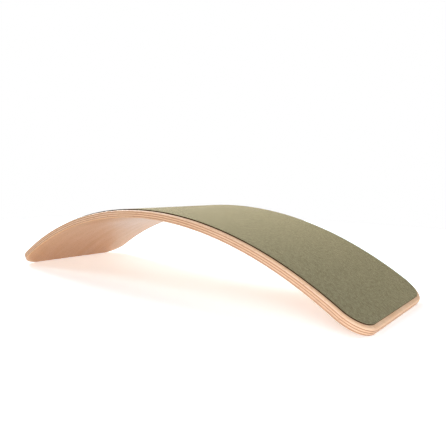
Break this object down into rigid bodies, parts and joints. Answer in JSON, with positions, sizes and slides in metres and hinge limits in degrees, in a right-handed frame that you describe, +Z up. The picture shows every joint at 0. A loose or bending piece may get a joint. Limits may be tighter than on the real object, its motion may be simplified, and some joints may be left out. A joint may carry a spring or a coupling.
{
  "type": "curved balance board",
  "caption": "Curved balance board pressed from beech veneers, with round corners and edges and a wool felt cover on its convex face; it stands as an arch or rocks.",
  "frame": {"origin": "on the floor under the middle of the arch, the centre of the bottom of the box", "axes": "+X along the board, +Y across it, +Z up towards the convex face"},
  "size_m": [0.8882, 0.3, 0.1575],
  "materials": {
    "beech_long_grain": "clear matt lacquer over fine long grain",
    "beech_cross_grain": "clear matt lacquer over open end grain on the long edges",
    "adhesive_film": "thin matt film",
    "wool_felt": "pressed wool felt, olive, matt and slightly mottled"
  },
  "bodies": {
    "root": {"ply_01_underside": "beech_long_grain", "ply_02_long": "beech_long_grain", "ply_03_cross": "beech_cross_grain", "ply_04_long": "beech_long_grain", "ply_05_long": "beech_long_grain", "ply_06_cross": "beech_cross_grain", "ply_07_long": "beech_long_grain", "ply_08_long": "beech_long_grain", "ply_09_cross": "beech_cross_grain", "ply_10_long": "beech_long_grain", "ply_11_upper_face": "beech_long_grain", "felt_adhesive_film": "adhesive_film", "felt_cover": "wool_felt"}
  },
  "joints": []
}
